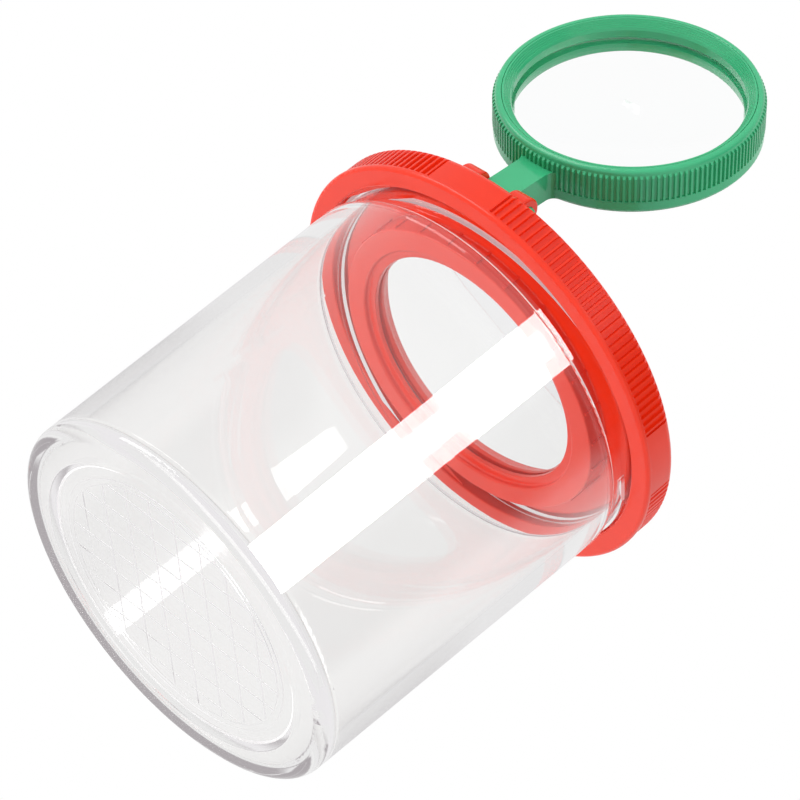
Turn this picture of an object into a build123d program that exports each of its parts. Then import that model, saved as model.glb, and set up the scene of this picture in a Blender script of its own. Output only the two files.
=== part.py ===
"""Insect viewer: a clear pot with a screw lid that carries a lens and a folding magnifier.

Millimetres, +Z up. The origin is the centre of the pot's foot and the hinge is on the +Y side.
"""
import os
from math import asin, cos, degrees, radians, sin, sqrt

from build123d import *

# Pot, clear polystyrene
POT_HEIGHT = 66.9           # foot to rim
NECK_HEIGHT = 6.9           # threaded neck above the shoulder
NECK_R = 30.7
SHOULDER_W = 1.1            # shoulder outside the neck
DRAFT = 0.8                 # body slimmer at the foot than at the shoulder
BODY_WALL = 2.0             # wall at the floor
NECK_WALL = 1.1
FLOOR_T = 1.75
RECESS_DEPTH = 0.85         # shallow recess under the floor
FOOT_W = 5.8                # ring that the pot stands on, before its roundings
RECESS_COVE = 1.2           # slope from the recess out to the foot ring
GRID_PITCH = 5.0            # measuring grid engraved under the floor
GRID_LINES = 8              # in each direction
GRID_INSET = 3.0            # its inner border circle inside the recess's wall
GRID_BORDER = 1.1           # from that circle to the outer one
GRID_TURN = 3.5             # from the hinge's axis
GROOVE_W = 0.25
GROOVE_DEPTH = 0.15
HEEL_ROUND = 1.8
FLOOR_ROUND = 1.0
SHOULDER_ROUND = 0.9
RIM_ROUND = 0.4

# Three-start thread
STARTS = 3
LEAD = 12.0                 # rise in one turn
THREAD_DEPTH = 0.8
THREAD_CLEARANCE = 0.3      # crest to opposite wall
THREAD_FACE = 0.6           # width of every ridge's crest
POT_RIDGE_W = 1.4           # width at the root
POT_RIDGE_ARC = 110.0
POT_RIDGE_ANGLE = 66.0      # lower end of the first ridge, from +X
POT_RIDGE_RISE = 2.3        # its middle above the shoulder
LID_RIDGE_W = 1.0
LID_RIDGE_ARC = 50.0
LID_RIDGE_RISE = 0.3        # lower flank above the lip
FLANK_GAP = 0.25            # lid ridge below pot ridge when the lid is closed
RUN_OUT = 10.0              # angle over which a ridge runs out into its wall
RUN_OUT_STEP = 0.05         # what is left of it at its very end
ROOT_SINK = 0.3             # how far a ridge or a ribbed band is rooted in its wall

# Lid, red gloss plastic
LID_WALL = 3.2              # skirt from its bore to the ribs' crests
LID_GAP = 3.2               # shoulder to lip
RIM_GAP = 0.3               # pot rim to lid ceiling
LID_PLATE = 2.1
LID_ROUND = 1.2
LIP_PROUD = 0.2             # lip outside the ribs
LIP_HEIGHT = 0.9
LIP_ROUND = 0.6
KNURL_DEPTH = 0.45
RIB_CREST = 0.35
RIB_ROOT = 0.6
PANELS = 4                  # plain grip panels between the ribs
PANEL_ANGLE = 20.0
PANEL_RIBS = 34             # ribs between two panels
PLUG_CLEARANCE = 0.3        # plug inside the neck
PLUG_DEPTH = 2.45           # below the ceiling
TUBE_WALL = 3.7             # lens tube outside the lens seat
TUBE_DEPTH = 6.2
LEDGE_W = 1.5               # ledge under the lens
LEDGE_RISE = 0.9            # ledge above the tube's end
LEDGE_T = 0.8
WEBS = 28                   # low ribs that stiffen the tube
WEB_T = 0.4
WEB_PROUD = 0.25
WEB_STOP = 0.4              # above the tube's end
WEB_ANGLE = 113.5           # one of them, from +X

# Lid lens and its ring
LENS_EDGE = 2.0
LENS_SURFACE_R = 180.0
LENS_CLEARANCE = 0.1
LENS_RIM_GAP = 0.2          # flat rim of a lens inside its ledge
RING_HEIGHT = 2.0
RING_W = 1.2
RING_CLEARANCE = 0.05

# Hinge
PIN_R = 1.15
PIN_LENGTH = 15.0
PIN_INSET = 6.0             # axis inside the lid's outer wall
PIN_RISE = 1.95             # axis above the lid's top
PIN_CLEARANCE = 0.06
LUG_WALL = 1.19             # round the pin's bore
LUG_T = 3.5
LUG_ROUND = 0.4
LUG_SPACE = 6.0             # between the two lugs
LUG_SINK = 0.5              # how far a lug is rooted in the lid
GUSSET_T = 0.5              # thin rib on a lug's outer side
GUSSET_FOOT = 1.2
GUSSET_TOP = 0.9            # above the pin's axis

# Magnifier frame, green gloss plastic
LEAN = 6.1                  # rest position, inward from upright
ARM_REACH = 0.4             # folded frame's centre past the lid's axis
ARM_CLEARANCE = 0.2         # each side, between the lugs
ARM_FACE = 0.8              # outer face above the pin's axis
ARM_END_R = 1.75            # rounded end round the pin
ARM_TAPER = 6.0             # from the pin to the arm's full thickness
ARM_FLARE = 1.6             # fillet where the arm meets the ring
NEST_DEPTH = 2.0            # folded frame below the lid's top, inside the lens well
NEST_GAP = 0.25             # slot's floor under the folded arm
NEST_CLEARANCE = 0.7        # lens well round the folded frame
FRAME_HEIGHT = 7.36
FRAME_WALL = 1.4            # ring outside its lens ring's seat
FRAME_RIBS = 150
FRAME_RIB_DEPTH = 0.35
FRAME_RIB_CREST = 0.3
FRAME_RIB_ROOT = 0.5
FLANGE_INSET = 0.1          # flange inside the ribs' crests
FLANGE_HEIGHT = 1.88
RIM_BAND = 0.86             # plain band above the ribs
RIM_INSET = 0.4             # plain band inside them
FRAME_ROUND = 0.6
MAG_LEDGE_T = 2.4
MAG_LEDGE_W = 1.3

# Magnifier lens and its ring
MAG_LENS_R = 18.6
MAG_LENS_EDGE = 2.0
MAG_SURFACE_R = 180.0
MAG_RING_HEIGHT = 2.7
MAG_RING_STEP = 0.5         # lens ring outside the lens seat
MAG_RING_W = 1.5
MAG_BEVEL = 1.2
MAG_BEVEL_STEPS = 5         # fine steps left by the cutter that made the mould

# Places that follow from the sizes above
SHOULDER_R = NECK_R + SHOULDER_W
HEEL_R = SHOULDER_R - DRAFT
RECESS_R = HEEL_R - FOOT_W - RECESS_COVE
GRID_R = RECESS_R - GRID_INSET
SHOULDER_Z = POT_HEIGHT - NECK_HEIGHT
FLOOR_TOP = RECESS_DEPTH + FLOOR_T
NECK_BORE = NECK_R - NECK_WALL
SKIRT_R = NECK_R + THREAD_DEPTH + THREAD_CLEARANCE
LID_R = SKIRT_R + LID_WALL
LIP_Z = SHOULDER_Z + LID_GAP
CEILING_Z = POT_HEIGHT + RIM_GAP
LIP_R = LID_R + LIP_PROUD
PLUG_R = NECK_BORE - PLUG_CLEARANCE
PLUG_Z = CEILING_Z - PLUG_DEPTH
TUBE_Z = CEILING_Z - TUBE_DEPTH
LID_TOP = CEILING_Z + LID_PLATE
LEDGE_TOP = TUBE_Z + LEDGE_RISE + LEDGE_T
MAG_SEAT_R = MAG_LENS_R + LENS_CLEARANCE
MAG_RING_R = MAG_SEAT_R + MAG_RING_STEP
MAG_RING_BORE = MAG_RING_R - MAG_RING_W
FRAME_R = MAG_RING_R + FRAME_WALL
FLANGE_R = FRAME_R - FLANGE_INSET
RIM_R = FRAME_R - RIM_INSET
SEAT_R = FRAME_R + NEST_CLEARANCE
LENS_R = SEAT_R - LENS_CLEARANCE
APERTURE_R = SEAT_R - LEDGE_W
TUBE_R = SEAT_R + TUBE_WALL
LENS_Z = LEDGE_TOP + LENS_CLEARANCE
PIN_Y = LID_R - PIN_INSET
PIN_Z = LID_TOP + PIN_RISE
LUG_R = PIN_R + PIN_CLEARANCE + LUG_WALL
ARM_LENGTH = PIN_Y + ARM_REACH
FRAME_BASE = -PIN_RISE - NEST_DEPTH
MAG_LEDGE_R = MAG_SEAT_R - MAG_LEDGE_W
MAG_LEDGE_Z = FRAME_BASE + MAG_LEDGE_T
MAG_STEP_Z = MAG_LEDGE_Z + MAG_LENS_EDGE + 2 * LENS_CLEARANCE
MAGNIFIER = Plane(
    origin=(0, PIN_Y, PIN_Z),
    x_dir=(-1, 0, 0),
    z_dir=(0, cos(radians(LEAN)), sin(radians(LEAN))),
)


def turned(*corners):
    """Solid of revolution about Z from (radius, height, rounding) corners."""
    points = [(radius, height) for radius, height, _ in corners]
    rounds = [rounding for _, _, rounding in corners]
    outline = FilletPolyline(*points, radius=rounds, close=True)
    return revolve(Plane.XZ * make_face(outline), Axis.Z)


def polar(radius, angle):
    """Point at a radius and an angle in degrees from +X."""
    return (radius * cos(radians(angle)), radius * sin(radians(angle)))


def rib_corners(count, first, pitch, root_r, crest_r, root_w, crest_w):
    """Corners of a row of ribs round a circle, the first one centred at an angle."""
    root = degrees(root_w / 2 / root_r)
    crest = degrees(crest_w / 2 / crest_r)
    corners = []
    for index in range(count):
        middle = first + index * pitch
        corners.append(polar(root_r, middle - root))
        corners.append(polar(crest_r, middle - crest))
        corners.append(polar(crest_r, middle + crest))
        corners.append(polar(root_r, middle + root))
    return corners


def ridge(wall_r, crest_r, width, arc):
    """One thread ridge that climbs from angle 0 and runs out into its wall at both ends."""
    outward = 1 if crest_r > wall_r else -1
    path = Helix(pitch=LEAD, height=LEAD * arc / 360, radius=wall_r)
    plane = Plane(origin=path @ 0, x_dir=(1, 0, 0), z_dir=path % 0)
    outline = Polyline(
        (-outward * ROOT_SINK, -width / 2),
        (0, -width / 2),
        (crest_r - wall_r, -THREAD_FACE / 2),
        (crest_r - wall_r, THREAD_FACE / 2),
        (0, width / 2),
        (-outward * ROOT_SINK, width / 2),
        close=True,
    )
    blunt = sweep(plane * make_face(outline), path=path, is_frenet=True)
    for end, inward in ((0, 1), (arc, -1)):
        cutter = Polyline(
            polar(wall_r + outward * RUN_OUT_STEP, end - inward),
            polar(crest_r + outward * RUN_OUT_STEP / 2, end + inward * RUN_OUT),
            polar(crest_r + outward * THREAD_DEPTH, end - inward),
            close=True,
        )
        blunt -= extrude(make_face(cutter), LEAD, both=True)
    return blunt


def thread(wall_r, crest_r, width, arc, angle, height):
    """All the starts of one thread, the first from an angle and a height."""
    one = Pos(0, 0, height) * ridge(wall_r, crest_r, width, arc)
    return [Rot(0, 0, angle + 360 * start / STARTS) * one for start in range(STARTS)]


def lens(radius, clear_r, edge, surface_r):
    """Biconvex lens with a flat rim outside its clear radius, the rim's underside at height 0."""
    bulge = surface_r - sqrt(surface_r**2 - clear_r**2)
    half_way = asin(clear_r / surface_r) / 2
    mid_r = surface_r * sin(half_way)
    mid_bulge = bulge - surface_r * (1 - cos(half_way))
    outline = [
        ThreePointArc((0, -bulge), (mid_r, -mid_bulge), (clear_r, 0)),
        Polyline((clear_r, 0), (radius, 0), (radius, edge), (clear_r, edge)),
        ThreePointArc((clear_r, edge), (mid_r, edge + mid_bulge), (0, edge + bulge)),
        Line((0, edge + bulge), (0, -bulge)),
    ]
    return revolve(Plane.XZ * make_face(outline), Axis.Z)


def floor_grid():
    """Cutter for the measuring grid and its two border circles."""
    line = Box(2 * GRID_R, GROOVE_W, 2 * GROOVE_DEPTH)
    places = [(index - (GRID_LINES - 1) / 2) * GRID_PITCH for index in range(GRID_LINES)]
    rows = [Pos(0, place, 0) * line for place in places]
    rows += [Rot(0, 0, 90) * row for row in rows]
    grid = rows[0].fuse(*rows[1:]) & Cylinder(GRID_R, GROOVE_W + 2 * GROOVE_DEPTH)
    borders = [
        turned(
            (radius - GROOVE_W / 2, -GROOVE_DEPTH, 0),
            (radius + GROOVE_W / 2, -GROOVE_DEPTH, 0),
            (radius + GROOVE_W / 2, GROOVE_DEPTH, 0),
            (radius - GROOVE_W / 2, GROOVE_DEPTH, 0),
        )
        for radius in (GRID_R, GRID_R + GRID_BORDER)
    ]
    return Pos(0, 0, RECESS_DEPTH) * Rot(0, 0, GRID_TURN) * grid.fuse(*borders)


def pot():
    """Clear drinking-glass body with a recessed, engraved floor and a threaded neck."""
    body = turned(
        (0, RECESS_DEPTH, 0),
        (RECESS_R, RECESS_DEPTH, 0.3),
        (RECESS_R + RECESS_COVE, 0, 0.3),
        (HEEL_R, 0, HEEL_ROUND),
        (SHOULDER_R, SHOULDER_Z, SHOULDER_ROUND),
        (NECK_R, SHOULDER_Z, 0),
        (NECK_R, POT_HEIGHT, RIM_ROUND),
        (NECK_BORE, POT_HEIGHT, RIM_ROUND),
        (HEEL_R - BODY_WALL, FLOOR_TOP, FLOOR_ROUND),
        (0, FLOOR_TOP, 0),
    )
    ridges = thread(
        NECK_R,
        NECK_R + THREAD_DEPTH,
        POT_RIDGE_W,
        POT_RIDGE_ARC,
        POT_RIDGE_ANGLE,
        SHOULDER_Z + POT_RIDGE_RISE,
    )
    return body.fuse(*ridges) - floor_grid()


def lid_shell():
    """Cap, skirt, lip, plug and lens tube, turned in one piece inside the grip."""
    wall_r = LID_R - KNURL_DEPTH - ROOT_SINK
    ledge_z = LEDGE_TOP - LEDGE_T
    return turned(
        (SKIRT_R, LIP_Z, 0.3),
        (LIP_R, LIP_Z, LIP_ROUND),
        (LIP_R, LIP_Z + LIP_HEIGHT, 0.15),
        (wall_r, LIP_Z + LIP_HEIGHT, 0),
        (wall_r, LID_TOP, 0),
        (SEAT_R, LID_TOP, 0.4),
        (SEAT_R, LEDGE_TOP, 0),
        (APERTURE_R, LEDGE_TOP, 0.15),
        (APERTURE_R, ledge_z, 0.15),
        (SEAT_R, ledge_z, 0.3),
        (SEAT_R, TUBE_Z, 0.3),
        (TUBE_R, TUBE_Z, 0.25),
        (TUBE_R, PLUG_Z, 0.3),
        (PLUG_R, PLUG_Z, 0.5),
        (PLUG_R, CEILING_Z, 0.3),
        (SKIRT_R, CEILING_Z, 0.3),
    )


def lid_grip():
    """Ribs and plain panels round the skirt, rounded over at the top."""
    root_r = LID_R - KNURL_DEPTH
    sector = 360 / PANELS
    pitch = (sector - PANEL_ANGLE) / PANEL_RIBS
    outline = []
    for panel in range(PANELS):
        panel_end = sector * panel + PANEL_ANGLE / 2
        next_panel = sector * (panel + 1) - PANEL_ANGLE / 2
        ribs = rib_corners(PANEL_RIBS, panel_end + pitch / 2, pitch, root_r, LID_R, RIB_ROOT, RIB_CREST)
        points = [polar(LID_R, panel_end), polar(root_r, panel_end), *ribs]
        points += [polar(root_r, next_panel), polar(LID_R, next_panel)]
        outline.append(Polyline(*points))
        outline.append(CenterArc((0, 0), LID_R, next_panel, PANEL_ANGLE))
    band = make_face(outline) - Circle(root_r - 2 * ROOT_SINK)
    grip_z = LIP_Z + LIP_HEIGHT
    grip = extrude(Pos(0, 0, grip_z) * band, LID_TOP - grip_z)
    envelope = turned(
        (0, grip_z, 0),
        (LID_R + 1, grip_z, 0),
        (LID_R + 1, grip_z + 0.1, 0),
        (LID_R, grip_z + 0.1, 0),
        (LID_R, LID_TOP, LID_ROUND),
        (0, LID_TOP, 0),
    )
    return grip & envelope


def webs():
    """Low upright ribs round the outside of the lens tube."""
    height = PLUG_Z - TUBE_Z - WEB_STOP
    web = Pos(TUBE_R, 0, PLUG_Z) * Box(2 * WEB_PROUD, WEB_T, 2 * height)
    return [Rot(0, 0, WEB_ANGLE + 360 * index / WEBS) * web for index in range(WEBS)]


def lug(side):
    """One bearing for the hinge pin with its thin outer rib, on the -X or +X side of the arm."""
    foot = LID_TOP - LUG_SINK
    near = LUG_SPACE / 2 if side > 0 else -LUG_SPACE / 2 - LUG_T
    block = Rectangle(2 * LUG_R, PIN_Z - foot, align=(Align.CENTER, Align.MAX)) + Circle(LUG_R)
    face = Plane(origin=(near, PIN_Y, PIN_Z), x_dir=(0, 1, 0), z_dir=(1, 0, 0))
    body = extrude(face * block, LUG_T)
    body = fillet(body.faces().filter_by(Axis.X).edges().filter_by(GeomType.CIRCLE), LUG_ROUND)
    bore = extrude(face * Circle(PIN_R + PIN_CLEARANCE), LUG_T)
    wedge = Polyline(
        (LUG_R + GUSSET_FOOT, -PIN_RISE - LUG_SINK),
        (LUG_R + GUSSET_FOOT, -PIN_RISE),
        (LUG_R - LUG_WALL / 2, GUSSET_TOP),
        (LUG_R - LUG_WALL / 2, -PIN_RISE - LUG_SINK),
        close=True,
    )
    middle = face.offset((LUG_T - GUSSET_T) / 2)
    return body.fuse(extrude(middle * make_face(wedge), GUSSET_T)) - bore


def arm_slot():
    """Cutter for the slot in the lid's top that takes the folded arm."""
    floor = LID_TOP - NEST_DEPTH - NEST_GAP
    outline = Polyline(
        (APERTURE_R, floor),
        (PIN_Y - ARM_TAPER, floor),
        (PIN_Y, PIN_Z - ARM_END_R - NEST_GAP),
        (PIN_Y, LID_TOP + 1),
        (APERTURE_R, LID_TOP + 1),
        close=True,
    )
    return extrude(Plane.YZ * make_face(outline), LUG_SPACE / 2, both=True)


def lid():
    """Screw lid with its lens seat and the hinge lugs."""
    lip_ridge_z = LIP_Z + LID_RIDGE_RISE + LID_RIDGE_W / 2
    drop = POT_RIDGE_W / 2 + LID_RIDGE_W / 2 + FLANK_GAP
    climb = lip_ridge_z + drop - SHOULDER_Z - POT_RIDGE_RISE
    ridges = thread(
        SKIRT_R,
        SKIRT_R - THREAD_DEPTH,
        LID_RIDGE_W,
        LID_RIDGE_ARC,
        POT_RIDGE_ANGLE + 360 * climb / LEAD,
        lip_ridge_z,
    )
    body = lid_shell().fuse(*webs(), *ridges)
    return (body.fuse(lid_grip()) - arm_slot()).fuse(lug(-1), lug(1))


def lid_lens():
    """Main lens on the ledge of the lid's tube."""
    clear_r = APERTURE_R - LENS_RIM_GAP
    return Pos(0, 0, LENS_Z) * lens(LENS_R, clear_r, LENS_EDGE, LENS_SURFACE_R)


def lid_lens_ring():
    """Ring pressed into the tube above the lens."""
    outer = SEAT_R - RING_CLEARANCE
    base = LENS_Z + LENS_EDGE + LENS_CLEARANCE
    return turned(
        (outer - RING_W, base, 0.2),
        (outer, base, 0),
        (outer, base + RING_HEIGHT, 0.2),
        (outer - RING_W, base + RING_HEIGHT, 0.5),
    )


def frame_ring():
    """Ribbed ring of the magnifier, its axis through the origin."""
    root_r = FRAME_R - FRAME_RIB_DEPTH
    wall_r = root_r - ROOT_SINK
    top = FRAME_BASE + FRAME_HEIGHT
    rib_z = FRAME_BASE + FLANGE_HEIGHT
    rib_top = top - RIM_BAND
    ring_r = MAG_RING_R + RING_CLEARANCE
    shell = turned(
        (MAG_LEDGE_R, FRAME_BASE, 0.3),
        (FLANGE_R, FRAME_BASE, 0.5),
        (FLANGE_R, rib_z, 0.1),
        (wall_r, rib_z, 0),
        (wall_r, rib_top, 0),
        (root_r, rib_top, 0),
        (RIM_R, top, FRAME_ROUND),
        (ring_r, top, 0.15),
        (ring_r, MAG_STEP_Z, 0),
        (MAG_SEAT_R, MAG_STEP_Z, 0),
        (MAG_SEAT_R, MAG_LEDGE_Z, 0),
        (MAG_LEDGE_R, MAG_LEDGE_Z, 0),
    )
    corners = rib_corners(
        FRAME_RIBS, 0, 360 / FRAME_RIBS, root_r, FRAME_R, FRAME_RIB_ROOT, FRAME_RIB_CREST
    )
    band = make_face(Polyline(*corners, close=True)) - Circle(wall_r - ROOT_SINK)
    ribs = extrude(Pos(0, 0, rib_z) * band, rib_top - rib_z)
    envelope = turned(
        (0, rib_z - 1, 0),
        (FRAME_R, rib_z - 1, 0),
        (FRAME_R, rib_top - FRAME_RIB_DEPTH, 0),
        (root_r, rib_top, 0),
        (0, rib_top, 0),
    )
    return shell.fuse(ribs & envelope)


def arm():
    """Flat arm from the hinge pin to the ring, tapered at the pin that is moulded on it."""
    half = LUG_SPACE / 2 - ARM_CLEARANCE
    root_r = FRAME_R - FRAME_RIB_DEPTH
    plate = Rectangle(2 * half, ARM_LENGTH, align=(Align.CENTER, Align.MIN))
    plate += Pos(0, ARM_LENGTH) * Circle(root_r)
    corners = plate.vertices().sort_by(Axis.Y)[2:4]
    plate = fillet(corners, ARM_FLARE)
    blade = extrude(Pos(0, 0, FRAME_BASE) * plate, ARM_FACE - FRAME_BASE)
    bore = Pos(0, ARM_LENGTH, 0) * Cylinder(MAG_RING_R + RING_CLEARANCE + 0.4, 4 * FRAME_HEIGHT)
    under = Polyline(
        (-1, FRAME_BASE - 1),
        (-1, -ARM_END_R),
        (0, -ARM_END_R),
        (ARM_TAPER, FRAME_BASE),
        (ARM_TAPER, FRAME_BASE - 1),
        close=True,
    )
    taper = extrude(Plane.YZ * make_face(under), 2 * half, both=True)
    pin = Rot(0, 90, 0) * Cylinder(PIN_R, PIN_LENGTH)
    pin = fillet(pin.edges().filter_by(GeomType.CIRCLE), PIN_R * 0.8)
    knuckle = pin.fuse(Rot(0, 90, 0) * Cylinder(ARM_END_R, 2 * half))
    above = Pos(0, 0, ARM_FACE) * Box(
        2 * half, 4 * ARM_END_R, 2 * ARM_END_R, align=(Align.CENTER, Align.CENTER, Align.MIN)
    )
    return (blade - bore - taper).fuse(knuckle - above)


def magnifier_frame():
    """Green frame: ring, arm and hinge pin in one moulding."""
    ring = Pos(0, ARM_LENGTH, 0) * frame_ring()
    return MAGNIFIER * ring.fuse(arm())


def magnifier_lens():
    """Magnifier lens on the frame's inner ledge."""
    clear_r = MAG_LEDGE_R - LENS_RIM_GAP
    lens_z = MAG_LEDGE_Z + LENS_CLEARANCE
    return MAGNIFIER * Pos(0, ARM_LENGTH, lens_z) * lens(MAG_LENS_R, clear_r, MAG_LENS_EDGE, MAG_SURFACE_R)


def magnifier_lens_ring():
    """Ring pressed in over the magnifier lens, with a finely stepped bevel on its open side."""
    top = MAG_STEP_Z + MAG_RING_HEIGHT
    step = MAG_BEVEL / MAG_BEVEL_STEPS
    stairs = []
    for index in range(MAG_BEVEL_STEPS):
        inset = MAG_BEVEL - index * step
        stairs.append((MAG_RING_BORE + inset, top - index * step, 0))
        stairs.append((MAG_RING_BORE + inset - step / 2, top - (index + 1) * step, 0))
    ring = turned(
        (MAG_RING_BORE, top - MAG_BEVEL - step, 0),
        (MAG_RING_BORE, MAG_STEP_Z, 0),
        (MAG_RING_R, MAG_STEP_Z, 0),
        (MAG_RING_R, top, 0.1),
        *stairs,
    )
    return MAGNIFIER * Pos(0, ARM_LENGTH, 0) * ring


PARTS = {
    "pot": pot,
    "lid": lid,
    "lid_lens": lid_lens,
    "lid_lens_ring": lid_lens_ring,
    "magnifier_frame": magnifier_frame,
    "magnifier_lens": magnifier_lens,
    "magnifier_lens_ring": magnifier_lens_ring,
}

os.makedirs("parts", exist_ok=True)
for name, make in PARTS.items():
    export_step(make(), f"parts/{name}.step")
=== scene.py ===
"""Looks of the insect viewer: a clear pot, a red screw lid and a green folding magnifier."""

import bpy
from mathutils import Matrix, Vector


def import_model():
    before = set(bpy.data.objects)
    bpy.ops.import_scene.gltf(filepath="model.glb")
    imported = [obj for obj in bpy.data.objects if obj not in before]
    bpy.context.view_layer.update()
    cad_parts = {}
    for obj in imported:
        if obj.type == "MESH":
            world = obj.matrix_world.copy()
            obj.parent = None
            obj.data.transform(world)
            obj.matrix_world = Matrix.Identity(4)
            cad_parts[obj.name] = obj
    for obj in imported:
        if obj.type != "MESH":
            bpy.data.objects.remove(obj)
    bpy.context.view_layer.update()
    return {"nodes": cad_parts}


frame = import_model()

MM = 0.001

# Camera of the photograph: below the foot, on the hinge's side, turned so that the pot lies aslant
CAMERA_PLACE = Vector((-298.0, 393.9, -206.7)) * MM
CAMERA_RIGHT = Vector((-0.7138, -0.0922, 0.6942))
CAMERA_UP = Vector((0.4466, 0.7037, 0.5526))
CAMERA_LENS = 168.0
SENSOR = 36.0
OBJECT_MIDDLE = Vector((0, 0, 55)) * MM

# Lamps: direction from the object as the camera sees it (across, up, back), distance, width and
# height in metres, power in watts, and the rays that meet them
WINDOW = (0.764, 0.325, 0.556)
LAMPS = (
    ("window", WINDOW, 0.70, 0.36, 0.50, 8.0, "glossy"),
    ("inner_window", WINDOW, 0.71, 0.18, 0.34, 1.0, "transmission"),
    ("key", WINDOW, 0.72, 0.36, 0.50, 2.1, "diffuse"),
    ("top", (-0.55, 0.75, 0.35), 0.90, 0.70, 0.70, 4.8, "diffuse glossy transmission"),
    ("under", (-0.694, -0.5526, 0.4611), 0.50, 0.20, 0.20, 1.3, "diffuse"),
)
WINDOW_LAMPS = ("window", "inner_window")   # mirrored in the clear pieces, and in nothing else
CLEAR_PIECES = ("pot", "lid_lens", "magnifier_lens")

# World: what it shows to the camera, gives as fill light, and shows in reflections
WHITE = 1.0
FILL = 0.42
MIRRORED_LOW, MIRRORED_HIGH = 1.0, 0.85     # from directions that point down, and up
LOW, HIGH = -0.3, 0.5                       # heights of those directions
CARD_WAY = (-0.883, -0.088, 0.462)          # towards a grey card beside the window
CARD_EDGE, CARD_MIDDLE = 0.86, 0.96         # cosines from that direction
CARD_SHADE = 0.3

# Floor
FLOOR_REACH = 1200 * MM
FLOOR_DROP = 0.05 * MM
FLOOR_COLOUR = "#F2F2F2"
FLOOR_WHITE = 0.45          # share of plain white in the floor as the camera sees it
FLOOR_MIRRORED = 0.85
FADE_FROM = 90 * MM
FADE_TO = 520 * MM

# Light that stays inside clear plastic counts as caught after this way and these mirrorings, and
# shows a painted glow
CAUGHT_WAY = 25.0 * MM
CAUGHT_MIRRORINGS = 1
CAUGHT_IN_RING = (3.0, 6.0)     # heights in millimetres over which the painted glow's tone changes in the pot
CAUGHT_IN_WALL = (25.0, 35.0)
WALL_GLOW_SHARE = 0.45                # share of the painted glow high in the wall, the rest shows what is behind

# Centre of each lens and its clear radius, in millimetres: outside that its rim shows painted shade
# of the groove that holds it
LID_LENS = ((0, 0, 63.8), 19.7)
MAGNIFIER_LENS = ((0, 25.4, 100.4), 17.4)
# Grey tint of the painted groove shade on a lens rim
GROOVE_SHADE = "#7A827E"

# Dulled places under the pot: radius, lowest and highest place in millimetres, and roughness added
FOOT_RING = (29.2, -0.01, 0.84, 0.14)
RECESS_WALL = (24.3, 0.01, 0.84, 0.5)
GRID_GROOVES = (22.4, 0.865, 1.05, 0.2)

# Patterns: size of a feature in millimetres, octaves of detail, and how much longer it is along
# x, y and z
RUBBING = (3.0, 6.0, (1, 1, 4))
MELT_FLOW = (18.0, 2.0, (1, 1, 1))
WALL_SINK = (9.0, 1.0, (1, 1, 1))
DYE_CLOUDS = (7.0, 3.0, (1, 1, 1))
HANDLING = (0.9, 5.0, (3, 3, 1))
MOULD_SKIN = (0.35, 2.0, (1, 1, 1))
OCTAVE_SHARE = 0.55             # strength of each finer octave beside the one before
RUBBED = (0.42, 0.75)           # levels of a pattern from a clean patch to a rubbed one
HANDLED = (0.35, 0.7)

POLYSTYRENE_IOR = 1.59
ACRYLIC_IOR = 1.49
POLYPROPYLENE_IOR = 1.5

PLAIN = (1, 1, 1, 1)
FIRST_TURN = 0.5                # between no mirroring or scattering and one


def linear(hex_colour):
    """RGBA in linear light from an sRGB hex colour."""
    channels = [int(hex_colour[i : i + 2], 16) / 255 for i in (1, 3, 5)]
    lights = [c / 12.92 if c <= 0.04045 else ((c + 0.055) / 1.055) ** 2.4 for c in channels]
    return (*lights, 1.0)


def add(tree, kind, settings=None, **links):
    """Adds one node with its settings and links, each named as its socket or as _0, _1 or _2."""
    made = tree.nodes.new(kind)
    for key, value in (settings or {}).items():
        if isinstance(key, str) and hasattr(made, key):
            setattr(made, key, value)
        else:
            made.inputs[key].default_value = value
    for key, source in links.items():
        name = int(key[1:]) if key[1:].isdigit() else key.replace("_", " ")
        tree.links.new(source, made.inputs[name])
    return made


def blank_material(name):
    """A material with an empty node tree."""
    material = bpy.data.materials.new(name)
    material.use_nodes = True
    material.node_tree.nodes.clear()
    return material, material.node_tree


def pattern(tree, size_mm, detail, stretch):
    """Noise over the object, its features about a size in millimetres."""
    place = add(tree, "ShaderNodeTexCoord")
    scale = [1 / (size_mm * MM * along) for along in stretch]
    spread = add(tree, "ShaderNodeMapping", {"Scale": scale}, Vector=place.outputs["Object"])
    return add(
        tree,
        "ShaderNodeTexNoise",
        {"Scale": 1.0, "Detail": detail, "Roughness": OCTAVE_SHARE},
        Vector=spread.outputs[0],
    )


def underside(tree, roughness):
    """Adds the wear of the foot ring and the coarse cut of the grid to a roughness."""
    place = add(tree, "ShaderNodeTexCoord").outputs["Object"]
    height = add(tree, "ShaderNodeSeparateXYZ", None, Vector=place).outputs["Z"]
    flat = add(tree, "ShaderNodeVectorMath", {"operation": "MULTIPLY", 1: (1, 1, 0)}, _0=place)
    away = add(tree, "ShaderNodeVectorMath", {"operation": "LENGTH"}, _0=flat.outputs[0])
    for radius, bottom, top, dulled in (FOOT_RING, RECESS_WALL, GRID_GROOVES):
        inside = []
        for value, middle, reach in (
            (height, (bottom + top) / 2 * MM, (top - bottom) / 2 * MM),
            (away.outputs["Value"], 0.0, radius * MM),
        ):
            inside.append(
                add(tree, "ShaderNodeMath", {"operation": "COMPARE", 1: middle, 2: reach}, _0=value)
            )
        both = add(
            tree,
            "ShaderNodeMath",
            {"operation": "MULTIPLY"},
            _0=inside[0].outputs[0],
            _1=inside[1].outputs[0],
        )
        roughness = add(
            tree,
            "ShaderNodeMath",
            {"operation": "MULTIPLY_ADD", 1: dulled},
            _0=both.outputs[0],
            _2=roughness.outputs[0],
        )
    return roughness


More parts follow.
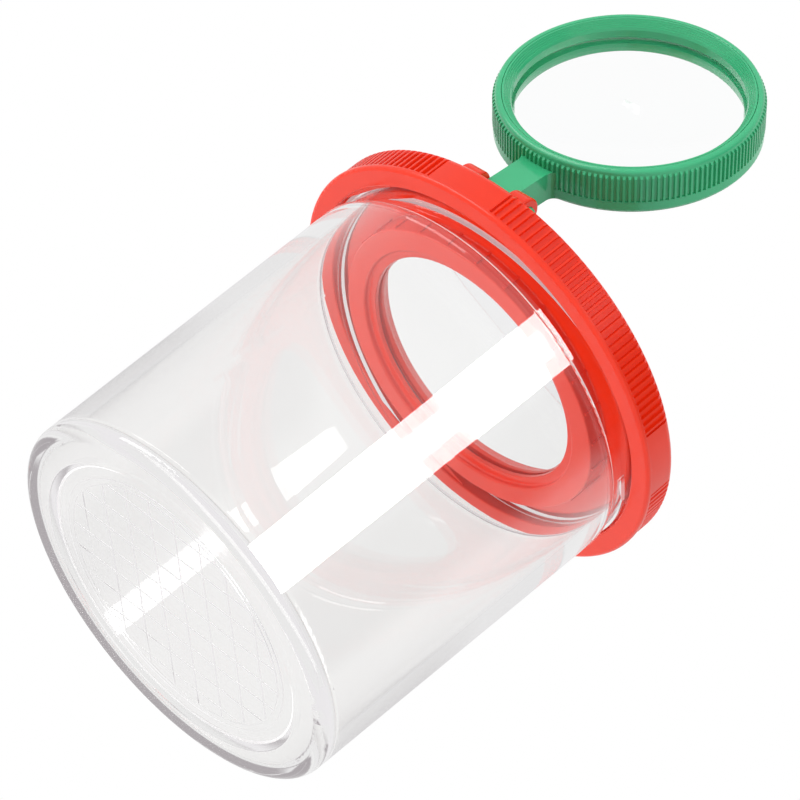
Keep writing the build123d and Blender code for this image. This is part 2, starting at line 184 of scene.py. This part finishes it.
def clear_body(tree, ior, tint, scuff, wave, foot_glow):
    """The clear plastic itself, polished, faintly tinted and lightly rubbed."""
    # Rubbing marks, too fine to show one by one: patches that mirror sharply or a little softly
    rubbed = pattern(tree, *RUBBING)
    roughness = add(
        tree,
        "ShaderNodeMapRange",
        {"From Min": RUBBED[0], "From Max": RUBBED[1], "To Min": 0.0, "To Max": scuff},
        Value=rubbed.outputs[0],
    )
    if foot_glow:
        roughness = underside(tree, roughness)
    # Slow flow of the melt: the faintest change of tint over the wall
    flow = pattern(tree, *MELT_FLOW)
    colour = add(
        tree,
        "ShaderNodeMix",
        {"data_type": "RGBA", 6: linear(tint[0]), 7: linear(tint[1])},
        _0=flow.outputs[0],
    )
    # Sink of the wall while it cooled: edges of reflections waver slightly
    wavy = pattern(tree, *WALL_SINK)
    bump = add(
        tree,
        "ShaderNodeBump",
        {"Strength": 1.0, "Distance": wave * MM},
        Height=wavy.outputs[0],
    )
    return add(
        tree,
        "ShaderNodeBsdfPrincipled",
        {"IOR": ior, "Transmission Weight": 1.0},
        Base_Color=colour.outputs[2],
        Roughness=roughness.outputs[0],
        Normal=bump.outputs[0],
    )


def painted_caught_glow(tree, caught_glow, foot_glow, lens):
    """Painted glow, and painted shade at a lens rim, shown once held light is mirrored too often to
    follow.
    """
    place = add(tree, "ShaderNodeTexCoord").outputs["Object"]
    held_glow = add(tree, "ShaderNodeEmission", {"Color": linear(caught_glow)})
    if lens:
        # The rim of a lens shows painted shade: a grey tint for the dark groove that holds it
        centre, clear_r = lens
        middle = [across * MM for across in centre]
        away = add(tree, "ShaderNodeVectorMath", {"operation": "DISTANCE", 1: middle}, _0=place)
        rim = add(
            tree,
            "ShaderNodeMath",
            {"operation": "GREATER_THAN", 1: clear_r * MM},
            _0=away.outputs["Value"],
        )
        groove_shade = add(tree, "ShaderNodeBsdfTransparent", {"Color": linear(GROOVE_SHADE)})
        return add(
            tree,
            "ShaderNodeMixShader",
            None,
            _0=rim.outputs[0],
            _1=held_glow.outputs[0],
            _2=groove_shade.outputs[0],
        )
    # The painted glow is paler in the foot ring, and high in the wall it takes some colour of what
    # lies behind
    height = add(tree, "ShaderNodeSeparateXYZ", None, Vector=place)
    ring, wall = (
        add(
            tree,
            "ShaderNodeMapRange",
            {"From Min": low * MM, "From Max": high * MM},
            Value=height.outputs["Z"],
        )
        for low, high in (CAUGHT_IN_RING, CAUGHT_IN_WALL)
    )
    pale = add(tree, "ShaderNodeEmission", {"Color": linear(foot_glow)})
    behind = add(tree, "ShaderNodeBsdfTransparent")
    wall_glow = add(
        tree, "ShaderNodeMixShader", {0: WALL_GLOW_SHARE}, _1=behind.outputs[0], _2=pale.outputs[0]
    )
    shown = pale
    for share, above in ((ring, held_glow), (wall, wall_glow)):
        shown = add(
            tree,
            "ShaderNodeMixShader",
            None,
            _0=share.outputs[0],
            _1=shown.outputs[0],
            _2=above.outputs[0],
        )
    return shown


def clear_plastic(name, ior, tint, scuff, wave, caught_glow, foot_glow=None, lens=None):
    """Clear plastic with a painted glow where light is caught in it, and which lets light through to
    matt surfaces.
    """
    material, tree = blank_material(name)
    shown = clear_body(tree, ior, tint, scuff, wave, foot_glow)
    path = add(tree, "ShaderNodeLightPath")
    often = add(
        tree,
        "ShaderNodeMath",
        {"operation": "GREATER_THAN", 1: CAUGHT_MIRRORINGS},
        _0=path.outputs["Glossy Depth"],
    )
    far = add(
        tree,
        "ShaderNodeMath",
        {"operation": "GREATER_THAN", 1: CAUGHT_WAY},
        _0=path.outputs["Ray Length"],
    )
    within = add(tree, "ShaderNodeNewGeometry").outputs["Backfacing"]
    led = add(tree, "ShaderNodeMath", {"operation": "MULTIPLY"}, _0=far.outputs[0], _1=within)
    lit = add(
        tree,
        "ShaderNodeMath",
        {"operation": "MAXIMUM"},
        _0=path.outputs["Is Shadow Ray"],
        _1=path.outputs["Is Diffuse Ray"],
    )
    # Painted glow for light mirrored often, then for light led along a wall; then light on its way to
    # a matt surface
    for share, instead in (
        (often, painted_caught_glow(tree, caught_glow, foot_glow, lens)),
        (led, add(tree, "ShaderNodeEmission", {"Color": linear(caught_glow)})),
        (lit, add(tree, "ShaderNodeBsdfTransparent", {"Color": linear(tint[0])})),
    ):
        shown = add(
            tree,
            "ShaderNodeMixShader",
            None,
            _0=share.outputs[0],
            _1=shown.outputs[0],
            _2=instead.outputs[0],
        )
    add(tree, "ShaderNodeOutputMaterial", None, Surface=shown.outputs[0])
    return material


def gloss_plastic(name, colours, roughness, grain):
    """Injection-moulded polypropylene, dyed through."""
    material, tree = blank_material(name)
    # Dye that mixed unevenly in the barrel: clouds of slightly deeper colour
    dye = pattern(tree, *DYE_CLOUDS)
    colour = add(
        tree,
        "ShaderNodeMix",
        {"data_type": "RGBA", 6: linear(colours[0]), 7: linear(colours[1])},
        _0=dye.outputs[0],
    )
    # Handling marks: duller strokes round the part
    marks = pattern(tree, *HANDLING)
    smooth, dull = roughness
    rough = add(
        tree,
        "ShaderNodeMapRange",
        {"From Min": HANDLED[0], "From Max": HANDLED[1], "To Min": smooth, "To Max": dull},
        Value=marks.outputs[0],
    )
    # Eroded mould skin, drawn coarser than the real 0.05 mm: a satin grain that breaks highlights up
    skin = pattern(tree, *MOULD_SKIN)
    bump = add(
        tree,
        "ShaderNodeBump",
        {"Strength": 1.0, "Distance": grain * MM},
        Height=skin.outputs[0],
    )
    body = add(
        tree,
        "ShaderNodeBsdfPrincipled",
        {"IOR": POLYPROPYLENE_IOR},
        Base_Color=colour.outputs[2],
        Roughness=rough.outputs[0],
        Normal=bump.outputs[0],
    )
    add(tree, "ShaderNodeOutputMaterial", None, Surface=body.outputs[0])
    return material


def give(node, material):
    """Puts one material on a CAD node."""
    mesh = frame["nodes"][node].data
    mesh.materials.clear()
    mesh.materials.append(material)


def camera():
    """The photograph's camera."""
    data = bpy.data.cameras.new("camera")
    data.lens = CAMERA_LENS
    data.sensor_width = SENSOR
    made = bpy.data.objects.new("camera", data)
    back = CAMERA_RIGHT.cross(CAMERA_UP)
    turn = Matrix((CAMERA_RIGHT, CAMERA_UP, back)).transposed().to_4x4()
    made.matrix_world = Matrix.Translation(CAMERA_PLACE) @ turn
    bpy.context.scene.collection.objects.link(made)
    bpy.context.scene.camera = made


def lamp(name, way, distance, width, height, power, rays):
    """A rectangular lamp that faces the object and is met by some kinds of ray only."""
    axes = (CAMERA_RIGHT, CAMERA_UP, CAMERA_RIGHT.cross(CAMERA_UP))
    towards = sum((axis * share for axis, share in zip(axes, way)), Vector())
    data = bpy.data.lights.new(name, "AREA")
    data.shape = "RECTANGLE"
    data.size = width
    data.size_y = height
    data.energy = power
    made = bpy.data.objects.new(name, data)
    made.rotation_euler = towards.to_track_quat("Z", "Y").to_euler()
    made.location = OBJECT_MIDDLE + towards.normalized() * distance
    for kind in ("camera", "diffuse", "glossy", "transmission"):
        setattr(made, "visible_" + kind, kind in rays)
    bpy.context.scene.collection.objects.link(made)
    return made


def lamps():
    """All the lamps, the window's own ones for the clear pieces alone."""
    clear_pieces = bpy.data.collections.new("clear_pieces")
    for node in CLEAR_PIECES:
        clear_pieces.objects.link(frame["nodes"][node])
    for name, *rest in LAMPS:
        made = lamp(name, *rest)
        if name in WINDOW_LAMPS:
            made.light_linking.receiver_collection = clear_pieces


def light_kinds(tree):
    """Whether a ray came straight, if only through clear plastic, and whether a matt face sent it."""
    path = add(tree, "ShaderNodeLightPath")
    matt = add(
        tree,
        "ShaderNodeMath",
        {"operation": "GREATER_THAN", 1: FIRST_TURN},
        _0=path.outputs["Diffuse Depth"],
    )
    turned = add(
        tree,
        "ShaderNodeMath",
        {"operation": "ADD"},
        _0=path.outputs["Diffuse Depth"],
        _1=path.outputs["Glossy Depth"],
    )
    straight = add(
        tree,
        "ShaderNodeMath",
        {"operation": "LESS_THAN", 1: FIRST_TURN},
        _0=turned.outputs[0],
    )
    return straight.outputs[0], matt.outputs[0]


def world():
    """White to the camera and through clear plastic, greyer in reflections and as fill light."""
    made = bpy.data.worlds.new("studio")
    made.use_nodes = True
    tree = made.node_tree
    tree.nodes.clear()
    straight, matt = light_kinds(tree)
    white, fill = (
        add(tree, "ShaderNodeBackground", {"Color": PLAIN, "Strength": strength})
        for strength in (WHITE, FILL)
    )
    sky = add(tree, "ShaderNodeTexCoord").outputs["Generated"]
    way = add(tree, "ShaderNodeSeparateXYZ", None, Vector=sky)
    ramp = add(
        tree,
        "ShaderNodeMapRange",
        {"From Min": LOW, "From Max": HIGH, "To Min": MIRRORED_LOW, "To Max": MIRRORED_HIGH},
        Value=way.outputs["Z"],
    )
    # A grey card beside the window deepens the reds that are seen in the pot
    card = add(tree, "ShaderNodeVectorMath", {"operation": "DOT_PRODUCT", 1: CARD_WAY}, _0=sky)
    shade = add(
        tree,
        "ShaderNodeMapRange",
        {"From Min": CARD_EDGE, "From Max": CARD_MIDDLE, "To Min": 1.0, "To Max": CARD_SHADE},
        Value=card.outputs["Value"],
    )
    level = add(
        tree,
        "ShaderNodeMath",
        {"operation": "MULTIPLY"},
        _0=ramp.outputs[0],
        _1=shade.outputs[0],
    )
    mirrored = add(tree, "ShaderNodeBackground", {"Color": PLAIN}, Strength=level.outputs[0])
    turned = add(
        tree, "ShaderNodeMixShader", None, _0=matt, _1=mirrored.outputs[0], _2=fill.outputs[0]
    )
    shown = add(
        tree, "ShaderNodeMixShader", None, _0=straight, _1=turned.outputs[0], _2=white.outputs[0]
    )
    add(tree, "ShaderNodeOutputWorld", None, Surface=shown.outputs[0])
    bpy.context.scene.world = made


def floor_card():
    """Matt pale card, seen from above only, that fades out into the white round the object."""
    material, tree = blank_material("floor_card")
    place = add(tree, "ShaderNodeTexCoord")
    away = add(tree, "ShaderNodeVectorMath", {"operation": "LENGTH"}, _0=place.outputs["Object"])
    fade = add(
        tree,
        "ShaderNodeMapRange",
        {"From Min": FADE_FROM, "From Max": FADE_TO},
        Value=away.outputs["Value"],
    )
    side = add(tree, "ShaderNodeNewGeometry")
    path = add(tree, "ShaderNodeLightPath")
    hidden = fade.outputs[0]
    for reason in (side.outputs["Backfacing"], path.outputs["Is Shadow Ray"]):
        most = add(tree, "ShaderNodeMath", {"operation": "MAXIMUM"}, _0=hidden, _1=reason)
        hidden = most.outputs[0]
    straight, matt = light_kinds(tree)
    card = add(tree, "ShaderNodeBsdfDiffuse", {"Color": linear(FLOOR_COLOUR)})
    dim, bright = (
        add(tree, "ShaderNodeEmission", {"Color": PLAIN, "Strength": strength})
        for strength in (FLOOR_MIRRORED, WHITE)
    )
    turned = add(
        tree, "ShaderNodeMixShader", None, _0=matt, _1=dim.outputs[0], _2=card.outputs[0]
    )
    pale = add(
        tree, "ShaderNodeMixShader", {0: FLOOR_WHITE}, _1=card.outputs[0], _2=bright.outputs[0]
    )
    shown = add(
        tree, "ShaderNodeMixShader", None, _0=straight, _1=turned.outputs[0], _2=pale.outputs[0]
    )
    gone = add(tree, "ShaderNodeBsdfTransparent")
    final = add(
        tree, "ShaderNodeMixShader", None, _0=hidden, _1=shown.outputs[0], _2=gone.outputs[0]
    )
    add(tree, "ShaderNodeOutputMaterial", None, Surface=final.outputs[0])
    return material


def floor():
    """The card under the foot."""
    mesh = bpy.data.meshes.new("floor")
    corners = [(-1, -1), (1, -1), (1, 1), (-1, 1)]
    places = [(x * FLOOR_REACH, y * FLOOR_REACH, 0) for x, y in corners]
    mesh.from_pydata(places, [], [(0, 1, 2, 3)])
    mesh.materials.append(floor_card())
    made = bpy.data.objects.new("floor", mesh)
    made.location.z = -FLOOR_DROP
    bpy.context.scene.collection.objects.link(made)


camera()
world()
floor()
lamps()

# Crystal polystyrene, moulded in a polished mould: water-clear, with sharp reflections, a painted
# grey glow where light is led along its walls and a paler painted glow in the foot ring
polystyrene = clear_plastic(
    "clear_polystyrene_moulded",
    ior=POLYSTYRENE_IOR,
    tint=("#FBFBFA", "#F8F7F7"),
    scuff=0.012,
    wave=0.003,
    caught_glow="#9F989C",
    foot_glow="#ECEAEC",
)
# Acrylic, polished: clearer than the pot, with nearly flawless reflections and a painted pale glow at
# its edge
acrylic = {
    node: clear_plastic(
        name,
        ior=ACRYLIC_IOR,
        tint=("#FEFEFE", "#FDFEFE"),
        scuff=0.01,
        wave=0.0004,
        caught_glow="#F6F6F7",
        lens=lens,
    )
    for node, name, lens in (
        ("lid_lens", "acrylic_lens_polished_lid", LID_LENS),
        ("magnifier_lens", "acrylic_lens_polished_magnifier", MAGNIFIER_LENS),
    )
}
# Polypropylene, dyed and moulded: even strong colour under a soft gloss, the red a little more satin
red = gloss_plastic("red_polypropylene_moulded", ("#F43412", "#EA2C0C"), (0.16, 0.24), 0.003)
green = gloss_plastic("green_polypropylene_moulded", ("#41BC84", "#39AE78"), (0.12, 0.2), 0.003)

give("pot", polystyrene)
give("lid", red)
give("lid_lens", acrylic["lid_lens"])
give("lid_lens_ring", red)
give("magnifier_frame", green)
give("magnifier_lens", acrylic["magnifier_lens"])
give("magnifier_lens_ring", green)

bpy.context.scene.view_settings.view_transform = "Standard"
